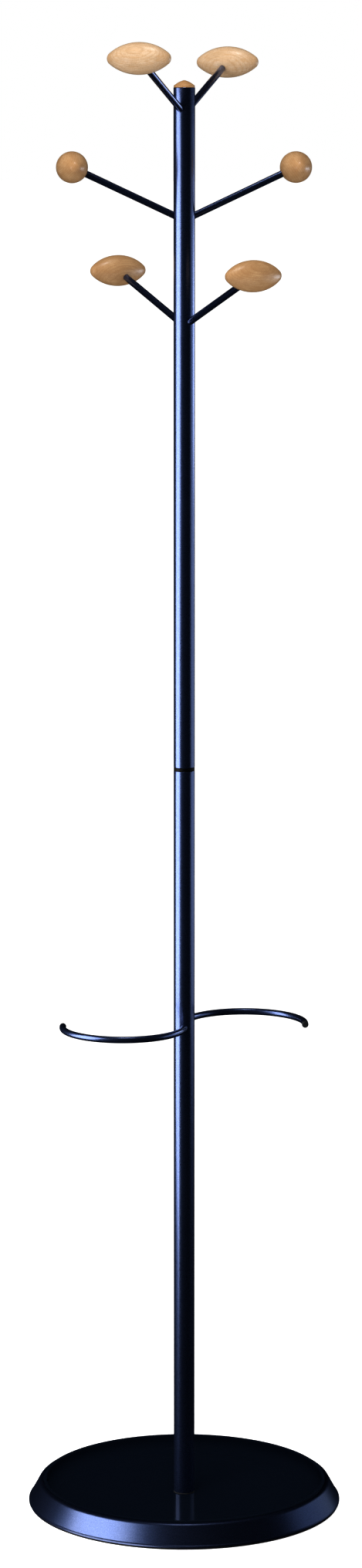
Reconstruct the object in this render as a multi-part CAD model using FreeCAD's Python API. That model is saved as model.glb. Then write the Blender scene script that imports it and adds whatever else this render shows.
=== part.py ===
"""Standing coat rack: a weighted round foot with a drip tray, a two-piece tube, six wooden pegs on
steel arms and an S-shaped umbrella rod. Millimetres, +Z up, origin on the floor under the tube's axis."""

import FreeCAD, Part
import math
import os

V = FreeCAD.Vector
UP = V(0, 0, 1)
ORIGIN = V(0, 0, 0)

# Driving dimensions
FOOT_RADIUS = 188.0          # widest part of the foot
FOOT_HEIGHT = 30.0           # floor to the tray's rim
TRAY_FLOOR = 11.0            # height of the tray's floor, on which the tube stands
TRAY_RADIUS = 165.0          # radius of the tray's wall
TRAY_COVE = 15.0             # radius of the bend between floor and wall
SHEET = 1.2                  # pressed steel of tray and skirt
RING_HEIGHT = 3.0            # rubber ring under the foot

TUBE_DIAMETER = 25.0
TUBE_WALL = 1.5
SEAL_THICKNESS = 0.8
JOINT_HEIGHT = 896.5         # middle of the black ring between the tubes
JOINT_RING = 4.0
TUBE_TOP = 1691.5
CAP_RIM = 2.2
CAP_HEIGHT = 8.2
PLUG_LENGTH = 30.0           # threaded plugs in the ends of the tubes

ROD_DIAMETER = 8.0
ARM_HEIGHTS = {"low": 1417.5, "middle": 1539.5, "top": 1661.5}   # where the arms' axes meet the tube's axis
ARM_BEARINGS = {"low": 120.0, "middle": 0.0, "top": 60.0}        # one arm of each pair, from +X, before the turn
CROWN_TURN = 7.0             # degrees by which the whole crown is turned
ARM_RISE = 25.0              # degrees above the horizontal
PEG_REACH = 130.5            # tube's axis to the peg's centre, level
PEG_LENGTH = 77.5
PEG_DIAMETER = 36.5
PEG_TIP = 8.0                # radius of the rounded tips
PEG_SOCKET = 17.0            # depth of the hole for the arm

HOLDER_HEIGHT = 587.0
LOOP_RADIUS = 72.2
LOOP_START = 11.0            # from the tube's axis to where each loop begins
TIP_LENGTH = 7.0
TIP_EDGE = 1.2               # rounding of the tip's flat end

BOLT = 10.0                  # clamp screw and joint stud
SCREW_RECESS = 0.7           # clamp screw's head above the ballast's underside
ARM_THREAD = 6.0
SET_SCREW = 5.0
PLAY = 0.05                  # gap all round a screwed or pushed fit
SET_SCREW_BEARING = 20.0     # just behind the tube's right-hand edge

# Worked out from these
TUBE_RADIUS = TUBE_DIAMETER / 2
BORE = TUBE_RADIUS - TUBE_WALL
ROD_RADIUS = ROD_DIAMETER / 2
TUBE_FOOT = TRAY_FLOOR + SEAL_THICKNESS
JOINT_BOTTOM = JOINT_HEIGHT - JOINT_RING / 2
JOINT_TOP = JOINT_HEIGHT + JOINT_RING / 2
ARM_TO_PEG = PEG_REACH / math.cos(math.radians(ARM_RISE))        # along the arm to the peg's centre


def rounded_wire(corners):
    """A closed outline in the XZ plane. A corner is (x, z), or (x, z, radius) for a rounded one."""
    points = [V(c[0], 0, c[1]) for c in corners]
    starts, ends, middles = [], [], []
    for i, corner in enumerate(corners):
        here = points[i]
        radius = corner[2] if len(corner) > 2 else 0.0
        if not radius:
            starts.append(here)
            ends.append(here)
            middles.append(None)
            continue
        back = (points[i - 1] - here).normalize()
        ahead = (points[(i + 1) % len(points)] - here).normalize()
        half = back.getAngle(ahead) / 2
        reach = radius / math.tan(half)
        centre = here + (back + ahead).normalize() * (radius / math.sin(half))
        starts.append(here + back * reach)
        ends.append(here + ahead * reach)
        middles.append(centre + (here - centre).normalize() * radius)
    edges = []
    for i in range(len(corners)):
        if middles[i]:
            edges.append(Part.Arc(starts[i], middles[i], ends[i]).toShape())
        following = starts[(i + 1) % len(corners)]
        if ends[i].distanceToPoint(following) > 1e-6:
            edges.append(Part.LineSegment(ends[i], following).toShape())
    return Part.Wire(edges)


def turned(corners):
    """A solid of revolution about the Z axis."""
    return Part.Face(rounded_wire(corners)).revolve(ORIGIN, UP, 360)


def cylinder(radius, start, direction, length):
    return Part.makeCylinder(radius, length, start, direction)


def polar(bearing, rise=0.0):
    """A unit vector at a bearing from +X and a rise above the horizontal, in degrees."""
    a, e = math.radians(bearing), math.radians(rise)
    return V(math.cos(a) * math.cos(e), math.sin(a) * math.cos(e), math.sin(e))


def on_axis(z):
    return V(0, 0, z)


# The foot

def floor_ring():
    """Rubber ring: the ballast sits on its inner step, and its outer step closes the skirt's hem."""
    step = 184.6
    return turned([
        (174.0, 0.0, 0.8), (187.0, 0.0, 0.8), (187.0, 2.0), (step, 2.0), (step, RING_HEIGHT),
        (174.0, RING_HEIGHT),
    ])


def ballast():
    """Cast-iron weight: a plate under the tray with a heavy rim that fills the hollow of the skirt."""
    hole = BOLT / 2 + 0.5
    head = 10.3
    plate_top = TRAY_FLOOR - SHEET
    rim_top = FOOT_HEIGHT - 3.6
    sink = RING_HEIGHT + SCREW_RECESS
    return turned([
        (head, RING_HEIGHT), (182.6, RING_HEIGHT), (182.6, 5.0, 1.0), (172.4, rim_top - 2.0, 2.0),
        (170.6, rim_top), (168.3, rim_top, 0.8), (168.3, plate_top, TRAY_COVE + 1.8),
        (hole, plate_top), (hole, sink + head - hole), (head, sink),
    ])


def base_skirt():
    """Pressed steel skirt: its lip is held down by the tray's rim, and its hem is rolled out to a bead."""
    lip_top = FOOT_HEIGHT - 2.4
    lip_under = lip_top - SHEET
    hem = 2.0
    return turned([
        (167.8, lip_under), (167.8, lip_top, 0.4), (174.6, lip_top, 5.0), (186.9, 5.3, 2.5),
        (FOOT_RADIUS, 4.4, 0.5), (FOOT_RADIUS, hem, 0.8), (184.8, hem), (184.8, 5.1, 1.5),
        (173.9, lip_under, 3.8),
    ])


def drip_tray():
    """Deep-drawn tray: flat floor, coved wall, and a rim rolled out and down onto the skirt's lip."""
    hole = BOLT / 2 + 0.4
    lip_top = FOOT_HEIGHT - 2.4
    under = FOOT_HEIGHT - SHEET
    return turned([
        (hole, TRAY_FLOOR), (TRAY_RADIUS, TRAY_FLOOR, TRAY_COVE), (TRAY_RADIUS + 1.0, FOOT_HEIGHT, 1.6),
        (170.6, FOOT_HEIGHT, 1.6), (170.6, lip_top), (169.4, lip_top), (169.4, under, 0.4),
        (TRAY_RADIUS + 2.2, under, 0.4), (TRAY_RADIUS + 1.2, TRAY_FLOOR - SHEET, TRAY_COVE + SHEET),
        (hole, TRAY_FLOOR - SHEET),
    ])


def clamp_screw():
    """Countersunk socket screw, driven from below into the plug in the foot of the tube."""
    shank = BOLT / 2 - PLAY
    head, head_bottom, edge, tip = 9.8, RING_HEIGHT + SCREW_RECESS, 0.4, 34.0
    screw = turned([
        (0, head_bottom), (head, head_bottom), (head, head_bottom + edge),
        (shank, head_bottom + edge + head - shank), (shank, tip - 1.0), (shank - 1.0, tip), (0, tip),
    ])
    socket = Part.Face(Part.makePolygon(
        [on_axis(head_bottom) + polar(60 * k) * 3.5 for k in range(7)])).extrude(UP * 4.0)
    return screw.cut(socket)


def foot_seal():
    """Thin rubber washer between the tube's end and the tray, so that drips stay in the tray."""
    return turned([
        (BOLT / 2 + 0.4, TRAY_FLOOR), (TUBE_RADIUS + 0.3, TRAY_FLOOR),
        (TUBE_RADIUS + 0.3, TUBE_FOOT, 0.3), (BOLT / 2 + 0.4, TUBE_FOOT),
    ])


# The tubes and what joins them

def tube(bottom, top):
    """A tube with its outer edges broken."""
    return turned([
        (BORE, bottom), (TUBE_RADIUS, bottom, 0.6), (TUBE_RADIUS, top, 0.6), (BORE, top),
    ])


def tube_plug(bottom):
    """Steel plug pushed into a tube's end and pressed fast, with a threaded hole through it."""
    outer, hole = BORE - PLAY, BOLT / 2
    top = bottom + PLUG_LENGTH
    return turned([
        (hole, bottom), (outer, bottom, 0.8), (outer, top, 0.8), (hole, top),
    ])


def lower_tube():
    """Lower half of the post, with a hole right through it for the umbrella rod and one for its set screw."""
    post = tube(TUBE_FOOT, JOINT_BOTTOM)
    rod_hole = cylinder(ROD_RADIUS + PLAY, V(0, -20, HOLDER_HEIGHT), V(0, 1, 0), 40)
    screw_hole = cylinder(
        SET_SCREW / 2 + PLAY, on_axis(HOLDER_HEIGHT), polar(SET_SCREW_BEARING), 20)
    return post.cut(rod_hole.fuse(widened_rod_path())).cut(screw_hole)


def upper_tube():
    """Upper half of the post, with a slanting hole for each arm."""
    post = tube(JOINT_TOP, TUBE_TOP)
    for level in ARM_HEIGHTS:
        for side in (0, 1):
            direction = arm_direction(level, side)
            post = post.cut(cylinder(
                ROD_RADIUS + PLAY, on_axis(ARM_HEIGHTS[level]), direction, 30))
    return post


def joint_stud():
    """Threaded stud that pulls the two tubes together."""
    radius, half = BOLT / 2 - PLAY, 25.0
    return turned([
        (0, JOINT_HEIGHT - half), (radius - 1.0, JOINT_HEIGHT - half), (radius, JOINT_HEIGHT - half + 1.0),
        (radius, JOINT_HEIGHT + half - 1.0), (radius - 1.0, JOINT_HEIGHT + half), (0, JOINT_HEIGHT + half),
    ])


def joint_ring():
    """Black plastic ring that closes the joint flush with both tubes."""
    hole = BOLT / 2 + 0.3
    outer = TUBE_RADIUS - 0.1
    return turned([
        (hole, JOINT_BOTTOM), (outer, JOINT_BOTTOM, 0.3), (outer, JOINT_TOP, 0.3), (hole, JOINT_TOP),
    ])


def top_cap():
    """Turned wooden point that closes the post: a short rim, a bulged cone, and a spigot in the bore."""
    rim = TUBE_RADIUS - 0.3
    spigot = BORE - 0.1
    peak = TUBE_TOP + CAP_HEIGHT
    return turned([
        (0, TUBE_TOP - 10), (spigot - 1, TUBE_TOP - 10), (spigot, TUBE_TOP - 9), (spigot, TUBE_TOP),
        (rim, TUBE_TOP), (rim, TUBE_TOP + CAP_RIM, 0.3), (6.4, peak - 2.0, 14.0), (1.0, peak, 1.0),
        (0, peak),
    ])


# The crown

def arm_direction(level, side):
    return polar(ARM_BEARINGS[level] + CROWN_TURN + 180 * side, ARM_RISE)


def arm_core(level):
    """Turned plug inside the tube at one level, into which the two opposite arms are screwed."""
    height = ARM_HEIGHTS[level]
    core = cylinder(BORE - PLAY, on_axis(height - 9), UP, 26)
    for side in (0, 1):
        direction = arm_direction(level, side)
        start = on_axis(height) + direction * 1.0
        seat = on_axis(height) + direction * 7.0
        core = core.cut(cylinder(ARM_THREAD / 2, start, direction, 20))
        core = core.cut(cylinder(ROD_RADIUS + PLAY, seat, direction, 20))
    return core


def arm(level, side):
    """Straight steel rod: threaded into the core at one end, glued into the peg at the other."""
    direction = arm_direction(level, side)
    root = on_axis(ARM_HEIGHTS[level])
    thread = cylinder(ARM_THREAD / 2 - PLAY, root + direction * 2.0, direction, 6.0)
    end = ARM_TO_PEG - PEG_DIAMETER / 2 + PEG_SOCKET - 1.0
    rod = cylinder(ROD_RADIUS, root + direction * 7.0, direction, end - 7.0)
    return rod.fuse(thread).removeSplitter()


def peg_outline():
    """Half of the peg's outline along X: two rounded tips joined by one long arc that meets them smoothly."""
    half = PEG_LENGTH / 2
    belly = PEG_DIAMETER / 2
    tip_x = half - PEG_TIP
    flank = (tip_x ** 2 + belly ** 2 - PEG_TIP ** 2) / (2 * (belly - PEG_TIP))
    to_tip = V(tip_x, 0, flank - belly).normalize()
    join = V(tip_x, 0, 0) + to_tip * PEG_TIP
    lean = math.atan2(to_tip.z, to_tip.x) / 2
    on_tip = V(tip_x + PEG_TIP * math.cos(lean), 0, PEG_TIP * math.sin(lean))
    mirrored = [V(-p.x, 0, p.z) for p in (join, on_tip)]
    return Part.Wire([
        Part.Arc(V(half, 0, 0), on_tip, join).toShape(),
        Part.Arc(join, V(0, 0, belly), mirrored[0]).toShape(),
        Part.Arc(mirrored[0], mirrored[1], V(-half, 0, 0)).toShape(),
        Part.LineSegment(V(-half, 0, 0), V(half, 0, 0)).toShape(),
    ])


def peg(level, side):
    """Turned beech peg, lying level across its arm, with a blind hole for the arm."""
    bearing = ARM_BEARINGS[level] + CROWN_TURN + 180 * side
    direction = arm_direction(level, side)
    body = Part.Face(peg_outline()).revolve(ORIGIN, V(1, 0, 0), 360)
    body.rotate(ORIGIN, UP, bearing + 90)
    body.translate(on_axis(ARM_HEIGHTS[level]) + direction * ARM_TO_PEG)
    socket_end = ARM_TO_PEG - PEG_DIAMETER / 2 + PEG_SOCKET
    socket = cylinder(ROD_RADIUS + PLAY, on_axis(ARM_HEIGHTS[level]), direction, socket_end)
    return body.cut(socket)


# The umbrella holder

def rod_path(side):
    """Half of the S: from the tube's axis straight out, then half a circle round to the rod's tip."""
    way = -1 if side == 0 else 1
    z = HOLDER_HEIGHT
    start = V(0, way * LOOP_START, z)
    middle = V(way * LOOP_RADIUS, way * (LOOP_START + LOOP_RADIUS), z)
    end = V(way * 2 * LOOP_RADIUS, way * LOOP_START, z)
    return [
        Part.LineSegment(V(0, 0, z), start).toShape(),
        Part.Arc(start, middle, end).toShape(),
    ]


def swept_rod(radius):
    """A round rod along the whole S, made as two halves that meet at the tube's axis."""
    halves = []
    for side in (0, 1):
        section = Part.Wire(Part.Circle(on_axis(HOLDER_HEIGHT), V(0, 1, 0), radius).toShape())
        halves.append(Part.Wire(rod_path(side)).makePipeShell([section], True, False))
    return halves[0].fuse(halves[1]).removeSplitter()


def widened_rod_path():
    """What the tube loses where the rod's bend leaves it."""
    return swept_rod(ROD_RADIUS + PLAY)


def umbrella_rod():
    """One bent steel rod: each end is drilled for the stem of its tip."""
    rod = swept_rod(ROD_RADIUS)
    for side in (0, 1):
        way = -1 if side == 0 else 1
        end = V(way * 2 * LOOP_RADIUS, way * LOOP_START, HOLDER_HEIGHT)
        rod = rod.cut(cylinder(2.0, end, V(0, way, 0), 5.5))
    return rod


def rod_tip(side):
    """Plastic tip with a flat end, rounded at its edge, and a stem that is pushed into the rod."""
    way = -1 if side == 0 else 1
    tip = turned([(0, 0), (ROD_RADIUS, 0), (ROD_RADIUS, TIP_LENGTH, TIP_EDGE), (0, TIP_LENGTH)])
    stem = cylinder(2.0 - PLAY, on_axis(-5.0), UP, 6.0)
    tip = tip.fuse(stem).removeSplitter()
    tip.rotate(ORIGIN, V(1, 0, 0), 90 * way)
    tip.translate(V(way * 2 * LOOP_RADIUS, way * LOOP_START, HOLDER_HEIGHT))
    return tip


def rod_core():
    """Plug inside the tube that the umbrella rod runs through, so that the thin wall isn't loaded."""
    core = cylinder(BORE - PLAY, on_axis(HOLDER_HEIGHT - 13), UP, 26)
    core = core.cut(cylinder(ROD_RADIUS + PLAY, V(0, -20, HOLDER_HEIGHT), V(0, 1, 0), 40))
    screw = cylinder(SET_SCREW / 2, on_axis(HOLDER_HEIGHT), polar(SET_SCREW_BEARING), 20)
    return core.cut(screw)


def rod_set_screw():
    """Socket set screw in the core that locks the umbrella rod."""
    direction = polar(SET_SCREW_BEARING)
    radius = SET_SCREW / 2 - PLAY
    lean = math.radians(SET_SCREW_BEARING)
    bite = (ROD_RADIUS + radius * math.sin(lean)) / math.cos(lean)
    return cylinder(radius, on_axis(HOLDER_HEIGHT) + direction * bite, direction, 6.0)


def all_parts():
    parts = {
        "floor_ring": floor_ring(), "ballast": ballast(), "base_skirt": base_skirt(),
        "drip_tray": drip_tray(), "clamp_screw": clamp_screw(), "foot_seal": foot_seal(),
        "foot_plug": tube_plug(TUBE_FOOT), "lower_tube": lower_tube(),
        "lower_joint_plug": tube_plug(JOINT_BOTTOM - PLUG_LENGTH), "joint_stud": joint_stud(),
        "joint_ring": joint_ring(), "upper_joint_plug": tube_plug(JOINT_TOP),
        "upper_tube": upper_tube(), "top_cap": top_cap(), "umbrella_rod": umbrella_rod(),
        "rod_core": rod_core(), "rod_set_screw": rod_set_screw(),
    }
    for side, name in enumerate(("left", "right")):
        parts["rod_tip_" + name] = rod_tip(side)
    for level in ARM_HEIGHTS:
        parts["arm_core_" + level] = arm_core(level)
        for side, letter in enumerate("ab"):
            parts[f"arm_{level}_{letter}"] = arm(level, side)
            parts[f"peg_{level}_{letter}"] = peg(level, side)
    return parts


os.makedirs("parts", exist_ok=True)
for node, shape in all_parts().items():
    shape.exportStep(f"parts/{node}.step")
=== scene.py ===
"""Standing coat rack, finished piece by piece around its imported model. Metres, +Z up."""
import math

import bmesh
import bpy
from mathutils import Matrix, Vector


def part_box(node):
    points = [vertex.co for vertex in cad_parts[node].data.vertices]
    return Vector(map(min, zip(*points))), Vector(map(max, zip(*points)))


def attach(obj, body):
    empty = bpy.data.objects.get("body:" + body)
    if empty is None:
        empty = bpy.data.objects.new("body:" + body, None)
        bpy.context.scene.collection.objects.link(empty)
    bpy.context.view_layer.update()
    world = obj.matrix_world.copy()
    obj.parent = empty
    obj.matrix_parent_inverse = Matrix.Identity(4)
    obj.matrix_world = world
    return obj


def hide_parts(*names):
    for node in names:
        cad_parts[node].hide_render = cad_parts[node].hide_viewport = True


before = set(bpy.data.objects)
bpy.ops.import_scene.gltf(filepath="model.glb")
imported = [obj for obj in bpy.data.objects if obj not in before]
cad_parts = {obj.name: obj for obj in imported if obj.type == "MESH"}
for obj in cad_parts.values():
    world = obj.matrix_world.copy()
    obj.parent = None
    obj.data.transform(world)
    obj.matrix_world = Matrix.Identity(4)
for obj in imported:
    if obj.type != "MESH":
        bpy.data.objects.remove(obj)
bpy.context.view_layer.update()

# Rubber ring under the foot.
# A flat ring of black rubber with a step on top: the weight sits on the inner part, and the outer part
# closes the hem of the skirt. It is moulded in one piece and pressed on.
MM = 0.001
UP = Vector((0, 0, 1))
LATHE_STEPS = 192
SAME_POINT = 0.002 * MM
CREASE = math.radians(32)
BEVEL_STEP = math.radians(11)


def outline(corners):
    """A closed outline in the XZ plane of (radius, height) corners in mm; a third number rounds one."""
    bm = bmesh.new()
    points = [Vector((c[0], 0, c[1])) * MM for c in corners]
    verts = [bm.verts.new(p) for p in points]
    for one, other in zip(verts, verts[1:] + verts[:1]):
        bm.edges.new((one, other))
    for i, corner in enumerate(corners):
        if len(corner) > 2:
            back = points[i - 1] - points[i]
            ahead = points[(i + 1) % len(points)] - points[i]
            turn = math.pi - back.angle(ahead)
            bmesh.ops.bevel(
                bm, geom=[verts[i]], offset=corner[2] * MM * math.tan(turn / 2), offset_type="OFFSET",
                affect="VERTICES", segments=max(3, round(turn / BEVEL_STEP)), profile=0.5, material=-1)
    return bm


def turned(corners, steps=LATHE_STEPS):
    """Turns an outline round the Z axis into a closed body."""
    bm = outline(corners)
    bmesh.ops.spin(bm, geom=bm.verts[:] + bm.edges[:], cent=(0, 0, 0), axis=UP, angle=math.tau, steps=steps,
                   use_merge=True)
    bmesh.ops.remove_doubles(bm, verts=bm.verts, dist=SAME_POINT)
    bmesh.ops.recalc_face_normals(bm, faces=bm.faces)
    return bm


def finished(bm, name, node, material):
    """Makes a piece of a mesh, shades it, and lets it stand for its node of the model."""
    mesh = bpy.data.meshes.new(name)
    bm.to_mesh(mesh)
    bm.free()
    mesh.materials.append(material)
    mesh.shade_smooth()
    mesh.set_sharp_from_angle(angle=CREASE)
    piece = bpy.data.objects.new(name, mesh)
    bpy.context.scene.collection.objects.link(piece)
    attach(piece, "root")
    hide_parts(node)
    return piece


class Shade:
    """One socket of a material. Sums on it add Math nodes, and node() adds any other node."""

    def __init__(self, tree, socket=None):
        self.tree = tree
        self.socket = socket

    def node(self, kind, settings=None, inputs=None, output=0):
        made = self.tree.nodes.new("ShaderNode" + kind)
        for key, value in (settings or {}).items():
            setattr(made, key, value)
        for key, value in (inputs or {}).items():
            self.feed(made, key, value)
        return Shade(self.tree, made.outputs[output])

    def feed(self, made, key, value):
        if isinstance(value, Shade):
            self.tree.links.new(value.socket, made.inputs[key])
        else:
            made.inputs[key].default_value = value

    def math(self, operation, *values):
        return self.node("Math", {"operation": operation}, dict(enumerate(values)))

    def __add__(self, other):
        return self.math("ADD", self, other)

    def __radd__(self, other):
        return self.math("ADD", other, self)

    def __sub__(self, other):
        return self.math("SUBTRACT", self, other)

    def __rsub__(self, other):
        return self.math("SUBTRACT", other, self)

    def __mul__(self, other):
        return self.math("MULTIPLY", self, other)

    def __rmul__(self, other):
        return self.math("MULTIPLY", other, self)

    def step(self, low, high, start=0.0, end=1.0):
        """Runs smoothly from start to end as this value goes from low to high."""
        return self.node("MapRange", {"interpolation_type": "SMOOTHSTEP"}, {
            "Value": self, "From Min": low, "From Max": high, "To Min": start, "To Max": end})

    def between(self, one, other):
        """Mixes two colours by this value."""
        return self.node("Mix", {"data_type": "RGBA"}, {0: self, 6: one, 7: other}, output=2)

    def stretched(self, scale, shift=(0.0, 0.0, 0.0)):
        """Scales coordinates by a different amount each way."""
        return self.node("Mapping", {"vector_type": "POINT"}, {
            "Vector": self, "Location": shift, "Scale": scale})

    def noise(self, grain, detail=2.0, roughness=0.5):
        """Soft noise whose lumps are about one grain, in millimetres, across."""
        return self.node("TexNoise", {"noise_dimensions": "3D"}, {
            "Vector": self, "Scale": 1.0 / (grain * MM), "Detail": detail, "Roughness": roughness})

    def cells(self, size, output="Distance"):
        """Random cells of about that size in mm: the distance to each one's middle, or its colour."""
        return self.node("TexVoronoi", {"voronoi_dimensions": "3D", "feature": "F1"}, {
            "Vector": self, "Scale": 1.0 / (size * MM)}, output=output)

    def first(self):
        """The first channel of a colour, as a value."""
        return self.node("SeparateColor", {}, {"Color": self})

    def bump(self, strength, depth):
        """Turns this value into relief, depth in millimetres."""
        return self.node("Bump", {}, {"Strength": strength, "Distance": depth * MM, "Height": self})


def surface(name, paint, **constants):
    """A material: paint(coordinates) gives what varies, and constants go on the shader's own sockets."""
    material = bpy.data.materials.new(name)
    material.use_nodes = True
    tree = material.node_tree
    shader = tree.nodes["Principled BSDF"]
    for key, value in constants.items():
        shader.inputs[key.replace("_", " ")].default_value = value
    place = Shade(tree).node("TexCoord", {}, {}, output="Object")
    for key, value in paint(place).items():
        place.feed(shader, key, value)
    return material


def rubber_paint(place):
    """Matt black with a dusty bloom and a fine moulded grain."""
    grain = place.noise(0.6, 3.0)
    bloom = place.noise(14.0, 4.0, 0.6).step(0.45, 0.75)
    return {
        "Base Color": bloom.between((0.011, 0.011, 0.012, 1), (0.028, 0.027, 0.026, 1)),
        "Roughness": 0.62 + 0.16 * grain + 0.08 * bloom,
        "Normal": grain.bump(0.5, 0.12),
    }


black_rubber = surface("black_rubber", rubber_paint, IOR=1.5)
RING_INNER = 174.0
RING_STEP = 184.6
RING_OUTER = 187.0
RING_LEDGE = 2.0
RING_HEIGHT = 3.0
RING_EDGE = 0.8
finished(turned([
    (RING_INNER, 0.0, RING_EDGE), (RING_OUTER, 0.0, RING_EDGE), (RING_OUTER, RING_LEDGE),
    (RING_STEP, RING_LEDGE), (RING_STEP, RING_HEIGHT), (RING_INNER, RING_HEIGHT)]),
    "foot_ring_rubber", "floor_ring", black_rubber)

# Weight in the foot.
# A sand-cast iron plate with a thick rim that fills the skirt. Only its underside can be seen, inside the
# rubber ring, and it is left as cast but for a countersunk hole for the clamp screw.
TRAY_FLOOR = 11.0
FOOT_HEIGHT = 30.0
SHEET = 1.2
TRAY_COVE = 15.0
WEIGHT_RADIUS = 182.6
WEIGHT_EDGE = 5.0
WEIGHT_SHOULDER = 172.4
WEIGHT_CROWN = 170.6
WELL_RADIUS = 168.3
WELL_GAP = 1.8
RIM_TOP = FOOT_HEIGHT - 3.6
SCREW_HOLE = 5.5
COUNTERSINK = 10.3
SINK = RING_HEIGHT + 0.7


def iron_paint(place):
    """Dark grey casting skin: pitted, with thin brown bloom in the hollows."""
    skin = place.noise(1.3, 6.0, 0.65)
    pits = 1.0 - place.cells(2.4).step(0.0, 0.34)
    bloom = place.noise(22.0, 5.0, 0.6).step(0.5, 0.72)
    iron = skin.between((0.030, 0.031, 0.034, 1), (0.075, 0.076, 0.080, 1))
    return {
        "Base Color": (bloom * 0.55).between(iron, (0.085, 0.045, 0.026, 1)),
        "Roughness": 0.52 + 0.3 * skin,
        "Metallic": 0.55 - 0.45 * bloom,
        "Normal": (skin - 0.6 * pits).bump(0.7, 0.35),
    }


cast_iron = surface("cast_iron", iron_paint)
finished(turned([
    (COUNTERSINK, RING_HEIGHT), (WEIGHT_RADIUS, RING_HEIGHT), (WEIGHT_RADIUS, WEIGHT_EDGE, 1.0),
    (WEIGHT_SHOULDER, RIM_TOP - 2.0, 2.0), (WEIGHT_CROWN, RIM_TOP), (WELL_RADIUS, RIM_TOP, 0.8),
    (WELL_RADIUS, TRAY_FLOOR - SHEET, TRAY_COVE + WELL_GAP), (SCREW_HOLE, TRAY_FLOOR - SHEET),
    (SCREW_HOLE, SINK + COUNTERSINK - SCREW_HOLE), (COUNTERSINK, SINK)]),
    "foot_weight_cast", "ballast", cast_iron)

# Skirt of the foot.
# Pressed from 1.2 mm steel sheet, with its hem rolled out to a bead, and sprayed a satin metallic navy that
# holds fine bright flakes. Its lip is trapped under the rim of the tray.
FOOT_RADIUS = 188.0
LIP_INNER = 167.8
LIP_OUTER = 174.6
LIP_TOP = FOOT_HEIGHT - 2.4
SLOPE_END = FOOT_RADIUS - 1.1
HEM_INNER = 184.8
HEM_BOTTOM = 2.0
HEM_TOP = 4.4


def navy(name, depth, roughness, lacquer):
    """Satin metallic navy sprayed under lacquer, its tone scaled by depth, where a depth below 1 is painted
    shade: fine flakes, a faint orange peel.
    """
    def tone(*parts):
        return tuple(depth * part for part in parts) + (1,)

    def paint(place):
        flake = place.cells(0.5, output="Color").first()
        glint = flake.step(0.88, 1.0)
        cloud = place.noise(1.1, 3.0, 0.7)
        rubbed = place.noise(45.0, 4.0, 0.6)
        peel = place.noise(3.2, 2.0)
        shade = cloud.step(0.3, 0.7).between(tone(0.058, 0.094, 0.228), tone(0.100, 0.148, 0.345))
        return {
            "Base Color": (0.22 * glint).between(shade, tone(0.32, 0.40, 0.68)),
            "Roughness": roughness + 0.07 * rubbed - 0.03 * glint + 0.02 * cloud,
            "Normal": (0.10 * flake + peel).bump(0.08, 0.2),
        }
    return surface(name, paint, Metallic=0.96, Coat_Weight=lacquer, Coat_Roughness=roughness - 0.04)


# The skirt takes the post's navy at a darker depth: painted shade for the weaker light that falls on the
# foot.
skirt_navy_painted_shade = navy("skirt_navy_painted_shade", depth=0.64, roughness=0.30, lacquer=0.55)
skirt = finished(turned([
    (LIP_INNER, LIP_TOP - SHEET), (LIP_INNER, LIP_TOP, 0.4), (LIP_OUTER, LIP_TOP, 5.0),
    (SLOPE_END, HEM_TOP + 0.9, 2.5), (FOOT_RADIUS, HEM_TOP, 0.5), (FOOT_RADIUS, HEM_BOTTOM, 0.8),
    (HEM_INNER, HEM_BOTTOM), (HEM_INNER, HEM_TOP + 0.7, 1.5), (LIP_OUTER - 0.7, LIP_TOP - SHEET, 3.8)]),
    "foot_skirt_pressed", "base_skirt", skirt_navy_painted_shade)

# Drip tray.
# Deep-drawn steel with a coved wall, whose rim is rolled out and down over the skirt. It is stoved in a
# smooth, almost black enamel that mirrors the post.
TRAY_RADIUS = 165.0
TRAY_HOLE = 5.4
TRAY_LEAN = 1.0
TRAY_UNDER = FOOT_HEIGHT - SHEET
ROLL_OUTER = 170.6
ROLL_INNER = ROLL_OUTER - SHEET
ROLL_ROUND = 1.6


def enamel_paint(place):
    """Almost black gloss with wiping marks round the post, a few drip stains and specks of dust."""
    wiped = place.stretched((1.0, 1.0, 0.2)).noise(26.0, 5.0, 0.6)
    rings = place.node("TexWave", {
        "wave_type": "RINGS", "rings_direction": "Z", "wave_profile": "SIN"}, {
        "Vector": place, "Scale": 90.0, "Distortion": 9.0, "Detail": 3.0, "Detail Scale": 0.4}, output="Fac")
    dust = 1.0 - place.cells(9.0).step(0.015, 0.045)
    ripple = place.noise(30.0, 1.0)
    return {
        "Base Color": (0.35 * dust).between((0.0050, 0.0085, 0.0175, 1), (0.09, 0.10, 0.12, 1)),
        "Roughness": 0.085 + 0.07 * wiped.step(0.4, 0.8) + 0.02 * rings + 0.25 * dust,
        "Normal": ripple.bump(0.05, 0.4),
    }


gloss_enamel = surface("gloss_enamel", enamel_paint, IOR=1.10)
tray = finished(turned([
    (TRAY_HOLE, TRAY_FLOOR), (TRAY_RADIUS, TRAY_FLOOR, TRAY_COVE),
    (TRAY_RADIUS + TRAY_LEAN, FOOT_HEIGHT, ROLL_ROUND), (ROLL_OUTER, FOOT_HEIGHT, ROLL_ROUND),
    (ROLL_OUTER, LIP_TOP), (ROLL_INNER, LIP_TOP), (ROLL_INNER, TRAY_UNDER, ROLL_ROUND - SHEET),
    (TRAY_RADIUS + TRAY_LEAN + SHEET, TRAY_UNDER, ROLL_ROUND - SHEET),
    (TRAY_RADIUS + SHEET, TRAY_FLOOR - SHEET, TRAY_COVE + SHEET), (TRAY_HOLE, TRAY_FLOOR - SHEET)]),
    "foot_tray_drawn", "drip_tray", gloss_enamel)

# Clamp screw and set screw.
# Zinc-plated steel socket screws: a big countersunk one pulls the post down onto the tray from below, and a
# small grub screw in the side of the post locks the umbrella rod.
THIN_STEPS = 48
SHANK = 4.95
HEAD = 9.8
HEAD_BOTTOM = SINK
HEAD_EDGE = 0.4
SCREW_TIP = 34.0
GRUB_RADIUS = 2.45
GRUB_LENGTH = 6.0
SET_SCREW_BEARING = math.radians(20.0)


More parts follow.
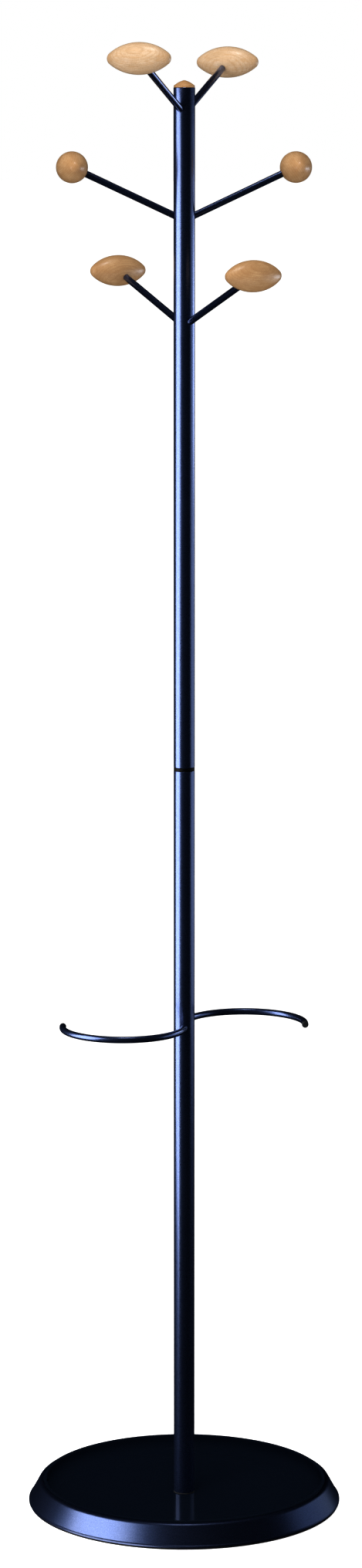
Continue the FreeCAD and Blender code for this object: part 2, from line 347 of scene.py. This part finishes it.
def steel_paint(place):
    """Bright plated steel with fine turning lines and a faint yellow-grey tarnish."""
    lines = place.stretched((1.0, 1.0, 6.0)).noise(0.5, 2.0)
    tarnish = place.noise(5.0, 4.0)
    return {
        "Base Color": tarnish.step(0.3, 0.8).between((0.62, 0.62, 0.60, 1), (0.46, 0.45, 0.41, 1)),
        "Roughness": 0.24 + 0.12 * lines + 0.10 * tarnish,
        "Normal": lines.bump(0.25, 0.03),
    }


bright_steel = surface("bright_steel", steel_paint, Metallic=1.0)


def outline_open(points):
    """An open outline in the XZ plane, in millimetres, to be turned into a body that is closed later."""
    bm = bmesh.new()
    verts = [bm.verts.new((x * MM, 0, z * MM)) for x, z in points]
    for one, other in zip(verts, verts[1:]):
        bm.edges.new((one, other))
    return bm


def socket_screw(profile, flats, depth):
    """A turned screw whose end at the bottom has a hexagonal socket. The outline's last point is its edge."""
    bm = outline_open(profile)
    bmesh.ops.spin(bm, geom=bm.verts[:] + bm.edges[:], cent=(0, 0, 0), axis=UP, angle=math.tau,
                   steps=THIN_STEPS, use_merge=True)
    bmesh.ops.remove_doubles(bm, verts=bm.verts, dist=SAME_POINT)
    face_edge = [e for e in bm.edges if e.is_boundary]
    bottom = profile[-1][1] * MM
    six = bmesh.ops.create_circle(bm, segments=6, radius=flats * MM,
                                  matrix=Matrix.Translation((0, 0, bottom)))
    hexagon = list({e for v in six["verts"] for e in v.link_edges})
    bmesh.ops.bridge_loops(bm, edges=face_edge + hexagon)
    walls = bmesh.ops.extrude_edge_only(bm, edges=hexagon)["geom"]
    floor = [v for v in walls if isinstance(v, bmesh.types.BMVert)]
    bmesh.ops.translate(bm, verts=floor, vec=UP * depth * MM)
    bmesh.ops.contextual_create(bm, geom=[e for e in walls if isinstance(e, bmesh.types.BMEdge)
                                          and e.is_boundary])
    bmesh.ops.recalc_face_normals(bm, faces=bm.faces)
    return bm


finished(socket_screw([
    (0, SCREW_TIP), (SHANK - 1.0, SCREW_TIP), (SHANK, SCREW_TIP - 1.0),
    (SHANK, HEAD_BOTTOM + HEAD_EDGE + HEAD - SHANK), (HEAD, HEAD_BOTTOM + HEAD_EDGE),
    (HEAD, HEAD_BOTTOM + 0.1), (HEAD - 0.1, HEAD_BOTTOM)], flats=3.5, depth=4.0),
    "foot_screw_plated", "clamp_screw", bright_steel)

set_low, set_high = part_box("rod_set_screw")
grub = socket_screw([
    (0, GRUB_LENGTH), (1.6, GRUB_LENGTH), (GRUB_RADIUS, GRUB_LENGTH - 0.8), (GRUB_RADIUS, 0.4),
    (GRUB_RADIUS - 0.35, 0.0)], flats=1.25, depth=2.4)
bmesh.ops.transform(grub, verts=grub.verts, matrix=(
    Matrix.Translation((set_low + set_high) / 2)
    @ Matrix.Rotation(SET_SCREW_BEARING, 4, "Z") @ Matrix.Rotation(-math.pi / 2, 4, "Y")
    @ Matrix.Translation((0, 0, -GRUB_LENGTH / 2 * MM))))
finished(grub, "rod_grub_screw", "rod_set_screw", bright_steel)

# Washer under the post.
# A thin black rubber washer that stands proud of the post by a hair all round and keeps drips in the tray.
TUBE_RADIUS = 12.5
TUBE_FOOT = TRAY_FLOOR + 0.8
WASHER_RADIUS = TUBE_RADIUS + 0.3
SMALL_STEPS = 96
finished(turned([
    (TRAY_HOLE, TRAY_FLOOR), (WASHER_RADIUS, TRAY_FLOOR), (WASHER_RADIUS, TUBE_FOOT, 0.3),
    (TRAY_HOLE, TUBE_FOOT)], SMALL_STEPS), "foot_washer_rubber", "foot_seal", black_rubber)

# Post.
# Two lengths of 25 mm steel tube in the same navy, drilled for the arms, the umbrella rod and its grub
# screw. Their ends are rounded, so the joint between them shows as a fine double line.
BORE = 11.0
TUBE_STEPS = 128
TUBE_EDGE = 0.6
JOINT_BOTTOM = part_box("joint_ring")[0].z / MM
JOINT_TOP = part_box("joint_ring")[1].z / MM
TUBE_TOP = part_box("upper_tube")[1].z / MM
ROD_RADIUS = 4.0
PLAY = 0.05
SET_SCREW_HOLE = 2.55
CORE_BELOW_ROD = 13.0
CORE_BELOW_ARM = 9.0
HOLDER_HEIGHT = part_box("rod_core")[0].z / MM + CORE_BELOW_ROD
ARM_RISE = math.radians(25.0)
CROWN_TURN = 7.0
ARMS = [
    (level, letter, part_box("arm_core_" + level)[0].z / MM + CORE_BELOW_ARM,
     math.radians(bearing + CROWN_TURN + turn))
    for level, bearing in (("low", 120.0), ("middle", 0.0), ("top", 60.0))
    for letter, turn in (("a", 0.0), ("b", 180.0))
]


def along(height, bearing, rise):
    """Takes the Z axis onto a line that leaves the post's axis at a height, bearing and rise."""
    return (Matrix.Translation((0, 0, height * MM)) @ Matrix.Rotation(bearing, 4, "Z")
            @ Matrix.Rotation(math.pi / 2 - rise, 4, "Y"))


def drilled(bm, name, holes):
    """Cuts round holes, each (placement, radius, start, length), through a body."""
    cutters = bmesh.new()
    for placement, radius, start, length in holes:
        bmesh.ops.create_cone(
            cutters, cap_ends=True, cap_tris=False, segments=THIN_STEPS, radius1=radius * MM,
            radius2=radius * MM, depth=length * MM,
            matrix=placement @ Matrix.Translation((0, 0, (start + length / 2) * MM)))
    pieces = []
    for mesh_data, label in ((bm, name + "_blank"), (cutters, name + "_drills")):
        mesh = bpy.data.meshes.new(label)
        mesh_data.to_mesh(mesh)
        mesh_data.free()
        pieces.append(bpy.data.objects.new(label, mesh))
        bpy.context.scene.collection.objects.link(pieces[-1])
    blank, drills = pieces
    cut = blank.modifiers.new("drill", "BOOLEAN")
    cut.operation = "DIFFERENCE"
    cut.solver = "EXACT"
    cut.object = drills
    result = bmesh.new()
    result.from_object(blank, bpy.context.evaluated_depsgraph_get())
    for piece in pieces:
        bpy.data.objects.remove(piece)
    return result


post_navy = navy("post_navy", depth=1.0, roughness=0.255, lacquer=1.0)


def tube(bottom, top):
    """A length of tube with rounded outer edges."""
    return turned([
        (BORE, bottom), (TUBE_RADIUS, bottom, TUBE_EDGE), (TUBE_RADIUS, top, TUBE_EDGE), (BORE, top)],
        TUBE_STEPS)


finished(drilled(tube(TUBE_FOOT, JOINT_BOTTOM), "lower_tube", [
    (along(HOLDER_HEIGHT, -math.pi / 2, 0.0), ROD_RADIUS + PLAY, -20.0, 40.0),
    (along(HOLDER_HEIGHT, SET_SCREW_BEARING, 0.0), SET_SCREW_HOLE, 0.0, 20.0)]),
    "post_lower_tube", "lower_tube", post_navy)
finished(drilled(tube(JOINT_TOP, TUBE_TOP), "upper_tube", [
    (along(height, bearing, ARM_RISE), ROD_RADIUS + PLAY, 0.0, 30.0)
    for level, letter, height, bearing in ARMS]),
    "post_upper_tube", "upper_tube", post_navy)

# Joint between the tubes.
# A moulded black plastic ring, a shade smaller than the tubes, on the threaded stud that pulls the two plugs
# together. Plugs, stud and cores are turned steel and stay as the model has them.
STUD_HOLE = 5.3
JOINT_RADIUS = TUBE_RADIUS - 0.1


def plastic_paint(tone):
    """Moulded plastic of that tone with a fine grain."""
    def paint(place):
        grain = place.noise(0.35, 2.0)
        haze = place.noise(6.0, 3.0)
        dark = tuple(0.8 * part for part in tone) + (1,)
        light = tuple(1.3 * part for part in tone) + (1,)
        return {
            "Base Color": haze.between(dark, light),
            "Roughness": 0.40 + 0.14 * grain + 0.06 * haze,
            "Normal": grain.bump(0.3, 0.05),
        }
    return paint


black_plastic = surface("black_plastic", plastic_paint((0.0015, 0.0015, 0.0018)), IOR=1.25)
finished(turned([
    (STUD_HOLE, JOINT_BOTTOM), (JOINT_RADIUS, JOINT_BOTTOM, 0.3), (JOINT_RADIUS, JOINT_TOP, 0.3),
    (STUD_HOLE, JOINT_TOP)], SMALL_STEPS), "post_joint_ring", "joint_ring", black_plastic)
for node in ("foot_plug", "lower_joint_plug", "joint_stud", "upper_joint_plug", "rod_core",
             "arm_core_low", "arm_core_middle", "arm_core_top"):
    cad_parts[node].data.materials.clear()
    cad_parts[node].data.materials.append(bright_steel)

# Umbrella rod.
# One length of 8 mm steel rod bent cold into a flat S, pushed through the post and sprayed the same navy.
# Each end is drilled for the stem of a tip.
LOOP_RADIUS = 72.2
LOOP_START = 11.0
LOOP_STEPS = 120
ROD_SIDES = 40
STEM_HOLE = 2.0
STEM_HOLE_DEPTH = 5.5


def umbrella_rod():
    """A straight run through the post, with half a circle and a drilled end on each side of it."""
    bm = bmesh.new()
    facing = Matrix.Rotation(math.pi / 2, 4, "X")
    starts = []
    for way in (-1, 1):
        start = Matrix.Translation((0, way * LOOP_START * MM, HOLDER_HEIGHT * MM)) @ facing
        ring = bmesh.ops.create_circle(bm, segments=ROD_SIDES, radius=ROD_RADIUS * MM, matrix=start)["verts"]
        edges = list({e for v in ring for e in v.link_edges})
        starts += edges
        centre = Vector((way * LOOP_RADIUS, way * LOOP_START, HOLDER_HEIGHT)) * MM
        end = bmesh.ops.spin(bm, geom=ring + edges, cent=centre, axis=-UP, angle=math.pi,
                             steps=LOOP_STEPS)["geom_last"]
        last = [e for e in end if isinstance(e, bmesh.types.BMEdge)]
        cap = bmesh.ops.contextual_create(bm, geom=last)["faces"]
        bmesh.ops.inset_region(bm, faces=cap, thickness=(ROD_RADIUS - STEM_HOLE) * MM, depth=0.0)
        stem = bmesh.ops.extrude_discrete_faces(bm, faces=cap)["faces"]
        bmesh.ops.translate(bm, verts=stem[0].verts[:], vec=(0, way * STEM_HOLE_DEPTH * MM, 0))
    bmesh.ops.bridge_loops(bm, edges=starts)
    bmesh.ops.recalc_face_normals(bm, faces=bm.faces)
    return bm


finished(umbrella_rod(), "umbrella_rod_bent", "umbrella_rod", post_navy)

# Tips of the umbrella rod.
# Dark grey moulded plastic caps as thick as the rod, with a flat end and a stem pushed into the rod.
grey_plastic = surface("grey_plastic", plastic_paint((0.012, 0.014, 0.017)), IOR=1.48)
TIP_LENGTH = 7.0
TIP_EDGE = 1.2
STEM = STEM_HOLE - PLAY
STEM_LENGTH = 5.0
for way, side in ((-1, "left"), (1, "right")):
    tip = turned([
        (0, -STEM_LENGTH), (STEM, -STEM_LENGTH), (STEM, 0), (ROD_RADIUS - 0.25, 0), (ROD_RADIUS, 0.25),
        (ROD_RADIUS, TIP_LENGTH, TIP_EDGE), (0, TIP_LENGTH)], THIN_STEPS)
    bmesh.ops.transform(tip, verts=tip.verts, matrix=(
        Matrix.Translation(Vector((way * 2 * LOOP_RADIUS, way * LOOP_START, HOLDER_HEIGHT)) * MM)
        @ Matrix.Rotation(way * math.pi / 2, 4, "X")))
    finished(tip, "umbrella_tip_" + side, "rod_tip_" + side, grey_plastic)

# Arms.
# Six straight lengths of the same 8 mm rod, three opposite pairs a sixth of a turn apart. The inner end is
# turned down and threaded into a core in the post, and the outer end is glued into its peg.
PEG_DIAMETER = 36.5
PEG_REACH = 130.5
PEG_SOCKET = 17.0
ARM_TO_PEG = PEG_REACH / math.cos(ARM_RISE)
ARM_END = ARM_TO_PEG - PEG_DIAMETER / 2 + PEG_SOCKET - 1.0
THREAD = 2.95
THREAD_START = 2.0
THREAD_END = 7.0
crown = []
for level, letter, height, bearing in ARMS:
    arm = turned([
        (0, THREAD_START), (THREAD - 0.4, THREAD_START), (THREAD, THREAD_START + 0.4), (THREAD, THREAD_END),
        (ROD_RADIUS, THREAD_END), (ROD_RADIUS, ARM_END, 0.5), (0, ARM_END)], THIN_STEPS)
    bmesh.ops.transform(arm, verts=arm.verts, matrix=along(height, bearing, ARM_RISE))
    crown.append(finished(arm, f"arm_rod_{level}_{letter}", f"arm_{level}_{letter}", post_navy))

# Pegs.
# Six lemon-shaped pegs turned between centres from steamed beech, with the grain along them, sanded and
# clear-lacquered. Each lies level across its arm and has a blind hole for it. The top pair is made paler.
PEG_LENGTH = 77.5
PEG_TIP = 8.0
RING_SPACING = 0.0021
SOCKET_START = 60.0
PALENESS = {"low": 0.25, "middle": 0.3, "top": 1.0}


def beech(name, centre, bearing, seed, paleness):
    """Clear-lacquered beech whose grain runs along a bearing; paleness 0 is a warm board, 1 a light one."""
    turn = Matrix.Rotation(-bearing, 3, "Z")

    def board(warm, pale):
        return tuple(Vector(warm).lerp(Vector(pale), paleness)) + (1,)

    def paint(place):
        wood = place.node("Mapping", {"vector_type": "POINT"}, {
            "Vector": place, "Rotation": (0, 0, -bearing), "Location": -(turn @ centre)})
        lengthways = wood.node("SeparateXYZ", {}, {"Vector": wood}, output="X")
        moved = wood.stretched((1.0, 1.0, 1.0), (seed * 0.31, seed * 0.17, seed * 0.23))
        warp = moved.stretched((0.25, 1.0, 1.0)).noise(16.0, 2.0)
        pith = wood.stretched((0.04, 1.0, 1.0), (0.0, 0.034 + 0.004 * seed, -0.030))
        reach = pith.node("VectorMath", {"operation": "LENGTH"}, {0: pith}, output="Value")
        rings = reach * (1 / RING_SPACING) + 1.6 * warp
        ring = rings.math("FRACT", rings)
        late = ring.step(0.50, 0.93) - ring.step(0.95, 1.0)
        fibre = moved.stretched((0.035, 1.0, 1.0)).noise(0.42, 3.0, 0.65)
        pore = 1.0 - moved.stretched((0.11, 1.0, 1.0)).cells(0.55).step(0.10, 0.34)
        ray_cell = moved.stretched((0.16, 0.9, 1.0))
        picked = ray_cell.cells(0.38, output="Color").first().step(0.50, 0.66)
        ray = picked * (1.0 - ray_cell.cells(0.38).step(0.14, 0.46))
        mottle = moved.stretched((0.35, 1.0, 1.0)).noise(9.0, 4.0, 0.6)
        streak = moved.stretched((0.06, 1.0, 1.0)).noise(2.2, 3.0, 0.6)
        end = lengthways.math("ABSOLUTE", lengthways).step(0.022, 0.038)
        ground = mottle.step(0.3, 0.7).between(
            board((0.440, 0.236, 0.088), (0.560, 0.400, 0.250)),
            board((0.565, 0.335, 0.145), (0.690, 0.520, 0.355)))
        ground = (0.32 * late + 0.25 * end).between(
            ground, board((0.300, 0.140, 0.050), (0.440, 0.240, 0.100)))
        ground = (0.55 * streak.step(0.40, 0.70)).between(
            ground, board((0.400, 0.205, 0.080), (0.560, 0.340, 0.165)))
        ground = (0.45 * fibre.step(0.35, 0.75)).between(
            ground, board((0.380, 0.200, 0.084), (0.500, 0.300, 0.150)))
        ground = (0.40 * pore).between(ground, (0.270, 0.130, 0.052, 1))
        return {
            "Base Color": (0.5 * ray).between(ground, (0.230, 0.105, 0.040, 1)),
            "Roughness": 0.40 + 0.10 * fibre + 0.08 * ray,
            "Normal": (0.5 * fibre - 0.6 * pore - 0.3 * ray).bump(0.12, 0.12),
        }
    return surface(name, paint, Coat_Weight=0.55, Coat_Roughness=0.22, IOR=1.5)


def peg_blank():
    """A closed lemon along Z: half an outline of two rounded tips and one long arc, turned round."""
    half, belly = PEG_LENGTH / 2, PEG_DIAMETER / 2
    tip = half - PEG_TIP
    flank = (tip ** 2 + belly ** 2 - PEG_TIP ** 2) / (2 * (belly - PEG_TIP))
    lean = math.atan2(flank - belly, tip)
    bm = bmesh.new()
    start = bm.verts.new((0, 0, half * MM))
    geom = [start]
    for centre, turn, steps in (
            (Vector((0, 0, tip)), lean, 14), (Vector((belly - flank, 0, 0)), math.pi - 2 * lean, 64),
            (Vector((0, 0, -tip)), lean, 14)):
        made = bmesh.ops.spin(bm, geom=geom, cent=centre * MM, axis=(0, 1, 0), angle=turn, steps=steps)
        geom = [g for g in made["geom_last"] if isinstance(g, bmesh.types.BMVert)]
    bmesh.ops.spin(bm, geom=bm.verts[:] + bm.edges[:], cent=(0, 0, 0), axis=UP, angle=math.tau,
                   steps=SMALL_STEPS, use_merge=True)
    bmesh.ops.remove_doubles(bm, verts=bm.verts, dist=SAME_POINT)
    bmesh.ops.recalc_face_normals(bm, faces=bm.faces)
    return bm


for seed, (level, letter, height, bearing) in enumerate(ARMS):
    middle = along(height, bearing, ARM_RISE) @ Vector((0, 0, ARM_TO_PEG * MM))
    blank = peg_blank()
    bmesh.ops.transform(blank, verts=blank.verts, matrix=(
        Matrix.Translation(middle) @ Matrix.Rotation(bearing + math.pi / 2, 4, "Z")
        @ Matrix.Rotation(math.pi / 2, 4, "Y")))
    socket = (along(height, bearing, ARM_RISE), ROD_RADIUS + PLAY, SOCKET_START,
              ARM_TO_PEG - PEG_DIAMETER / 2 + PEG_SOCKET - SOCKET_START)
    crown.append(finished(
        drilled(blank, "peg", [socket]), f"peg_turned_{level}_{letter}", f"peg_{level}_{letter}",
        beech(f"beech_{level}_{letter}", middle, bearing + math.pi / 2, seed, PALENESS[level])))

# Cap of the post.
# A small pointed cap turned from the same beech, with a straight rim and a spigot pushed into the bore.
CAP_RIM = 2.2
CAP_HEIGHT = 8.2
CAP_BLEND = 14.0
SPIGOT_LENGTH = 10.0
RIM = TUBE_RADIUS - 0.3
SPIGOT = BORE - 0.1
PEAK = TUBE_TOP + CAP_HEIGHT
crown.append(finished(turned([
    (0, TUBE_TOP - SPIGOT_LENGTH), (SPIGOT - 1, TUBE_TOP - SPIGOT_LENGTH),
    (SPIGOT, TUBE_TOP - SPIGOT_LENGTH + 1), (SPIGOT, TUBE_TOP), (RIM, TUBE_TOP),
    (RIM, TUBE_TOP + CAP_RIM, 0.3), (6.4, PEAK - 2.0, CAP_BLEND), (1.0, PEAK, 1.0), (0, PEAK)], SMALL_STEPS),
    "post_cap_turned", "top_cap",
    beech("beech_cap", Vector((0, 0, TUBE_TOP * MM)), math.radians(40), 7, 0.1)))

# Studio.
# A pale floor under a white surround, a tall soft light on the left and wider ones behind on the right. The
# crown and the skirt have lights of their own, and the tray is left out of the side lights to stay dark. The
# floor blocks and reflects nothing, so the light below it reaches the skirt's hem.
floor = bmesh.new()
bmesh.ops.create_grid(floor, x_segments=8, y_segments=8, size=150.0)
floor_mesh = bpy.data.meshes.new("studio_floor")
floor.to_mesh(floor_mesh)
floor.free()
studio_floor = bpy.data.objects.new("studio_floor", floor_mesh)
bpy.context.scene.collection.objects.link(studio_floor)
studio_floor.visible_glossy = False
studio_floor.visible_diffuse = False
studio_floor.visible_shadow = False


def floor_paint(place):
    return {"Base Color": place.noise(900.0, 2.0).between((0.80, 0.80, 0.80, 1), (0.83, 0.83, 0.83, 1))}


floor_mesh.materials.append(surface(
    "pale_floor", floor_paint, Roughness=0.9, Emission_Color=(1, 1, 1, 1), Emission_Strength=0.8))

world = bpy.data.worlds.new("studio")
bpy.context.scene.world = world
world.use_nodes = True
sky = world.node_tree.nodes["Background"]
surround = Shade(world.node_tree)
seen = surround.node("LightPath", {}, {}, output="Is Camera Ray")
surround.feed(sky, "Strength", 0.50 + 0.50 * seen)
sky.inputs["Color"].default_value = (1.0, 1.0, 1.0, 1)
world.cycles_visibility.glossy = False


def softbox(name, width, height, place, target, power, colour=(1, 1, 1), roll=0.0):
    """A soft rectangular light, aimed at a point and rolled about its aim, that isn't seen itself."""
    lamp = bpy.data.lights.new(name, "AREA")
    lamp.shape = "RECTANGLE"
    lamp.size = width
    lamp.size_y = height
    lamp.energy = power
    lamp.color = colour
    holder = bpy.data.objects.new(name, lamp)
    bpy.context.scene.collection.objects.link(holder)
    holder.location = place
    aim = (Vector(target) - Vector(place)).to_track_quat("-Z", "Y")
    holder.rotation_euler = (aim.to_matrix() @ Matrix.Rotation(roll, 3, "Z")).to_euler()
    holder.visible_camera = False
    return holder


def lights(lamp, pieces, only):
    """Keeps a light off some pieces, or to them only."""
    group = bpy.data.collections.new(lamp.name + "_pieces")
    for piece in pieces:
        group.objects.link(piece)
    lamp.light_linking.receiver_collection = group
    for entry in group.collection_objects:
        entry.light_linking.link_state = "INCLUDE" if only else "EXCLUDE"


SKY_BLUE = (0.80, 0.88, 1.0)
lights(softbox("key_left", 1.10, 1.75, (-1.14, -0.36, 0.93), (0, 0, 0.93), 31.0, roll=math.radians(-14)),
       [tray, skirt] + crown, False)
lights(softbox("key_foot", 1.6, 0.7, (-1.5, -0.6, 0.95), (-0.1, -0.12, 0.02), 27.0), [skirt], True)
lights(softbox("hem_gleam", 1.3, 0.36, (-0.85, -0.62, -0.30), (-0.12, -0.14, 0.0), 9.0, (1.0, 0.93, 0.84)),
       [skirt], True)
key_crown = softbox("key_crown", 1.0, 1.0, (-1.6, -1.5, 2.0), (0, 0, 1.5), 19.0)
key_crown.visible_glossy = False
lights(key_crown, crown, True)
bounce_crown = softbox("bounce_crown", 2.2, 2.2, (0.5, -1.2, 0.0), (0, 0, 1.5), 20.0)
bounce_crown.visible_glossy = False
lights(bounce_crown, crown, True)
lights(softbox("arm_gleam", 0.5, 1.2, (-1.6, -0.9, 1.3), (0, 0, 1.55), 5.0, SKY_BLUE), crown, True)
lights(softbox("rim_right", 3.4, 1.7, (2.85, 0.80, 0.86), (0, 0, 0.86), 16.0, SKY_BLUE), [tray, skirt], False)
lights(softbox("rim_upper", 1.0, 0.4, (1.75, 1.00, 1.30), (0, 0, 1.36), 4.0, SKY_BLUE), [tray, skirt], False)
lights(softbox("rim_foot", 2.7, 1.7, (2.72, 1.27, 0.86), (0, 0, 0.86), 9.0, (0.64, 0.78, 1.0)), [skirt], True)
softbox("top_fill", 2.4, 2.4, (-0.7, -2.0, 4.0), (0, 0, 1.4), 70.0).visible_glossy = False
softbox("top_gleam", 0.5, 0.7, (0.0, -0.3, 3.4), (0, 0, 1.4), 8.0)

# Camera.
# It stands at head height five metres in front of the post and looks a little down.
CAMERA_HEIGHT = 1.6368
CAMERA_DISTANCE = 5.0035
CAMERA_TILT = 8.62
CAMERA_YAW = 0.00076
camera_data = bpy.data.cameras.new("camera")
camera_data.lens = 98.24
camera_data.sensor_width = 36.0
camera_data.sensor_fit = "AUTO"
camera_data.clip_end = 500.0
camera = bpy.data.objects.new("camera", camera_data)
bpy.context.scene.collection.objects.link(camera)
camera.location = (0.0, -CAMERA_DISTANCE, CAMERA_HEIGHT)
camera.rotation_euler = (math.radians(90 - CAMERA_TILT), 0.0, CAMERA_YAW)
bpy.context.scene.camera = camera
bpy.context.scene.view_settings.view_transform = "Standard"
bpy.context.scene.view_settings.gamma = 0.8
